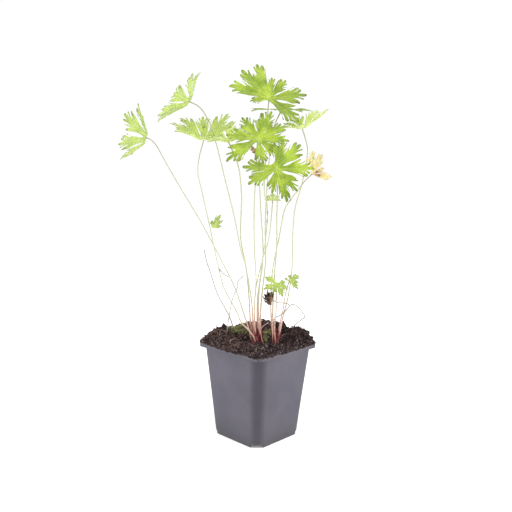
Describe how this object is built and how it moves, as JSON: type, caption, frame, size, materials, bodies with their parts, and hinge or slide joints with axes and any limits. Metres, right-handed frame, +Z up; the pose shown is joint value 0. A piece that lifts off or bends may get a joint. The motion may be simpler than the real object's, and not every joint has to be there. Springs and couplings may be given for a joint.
{
  "type": "hardy geranium in pot",
  "caption": "Young cranesbill plant with deeply cut round leaves on long thin stalks, growing from compost in a square tapered nursery pot.",
  "frame": {"origin": "middle of the pot's foot, on the surface that the pot stands on", "axes": "+Z up; the pot's flat walls face +X, -X, +Y and -Y; the clump's fullest side faces between +X and -Y, 44 degrees from -Y towards +X"},
  "size_m": [0.1749, 0.1988, 0.3862],
  "materials": {
    "pot": "satin",
    "compost": "matte",
    "moss": "matte",
    "crown": "matte",
    "petiole": "satin",
    "dead_stalk": "matte",
    "blade": "satin",
    "young_blade": "satin",
    "yellow_blade": "matte",
    "withered_blade": "matte"
  },
  "bodies": {
    "root": {"pot": "pot", "soil": "compost", "crown_left": "crown", "crown_right": "crown", "moss_left": "moss", "moss_right": "moss", "petiole_far_left": "petiole", "petiole_left": "petiole", "petiole_upper_left": "petiole", "petiole_left_back": "petiole", "petiole_middle": "petiole", "petiole_top": "petiole", "petiole_top_back": "petiole", "petiole_back": "petiole", "petiole_small_back": "petiole", "petiole_front": "petiole", "petiole_yellow": "petiole", "petiole_right": "petiole", "petiole_low_right": "petiole", "petiole_low_front": "petiole", "pale_stub": "petiole", "dead_stalk_withered": "dead_stalk", "dead_stalk_right": "dead_stalk", "dead_stalk_left": "dead_stalk", "dead_stalk_bent": "dead_stalk", "side_shoot": "dead_stalk", "blade_far_left": "blade", "blade_upper_left": "blade", "blade_left": "blade", "blade_left_back": "blade", "blade_middle": "blade", "blade_top": "blade", "blade_front": "blade", "blade_right": "blade", "blade_top_back": "blade", "blade_back": "blade", "blade_yellow": "yellow_blade", "blade_small_back": "young_blade", "blade_low_front": "young_blade", "blade_low_right": "young_blade", "blade_low_left": "young_blade", "blade_withered": "withered_blade", "blade_shrivelled": "withered_blade"}
  },
  "joints": []
}
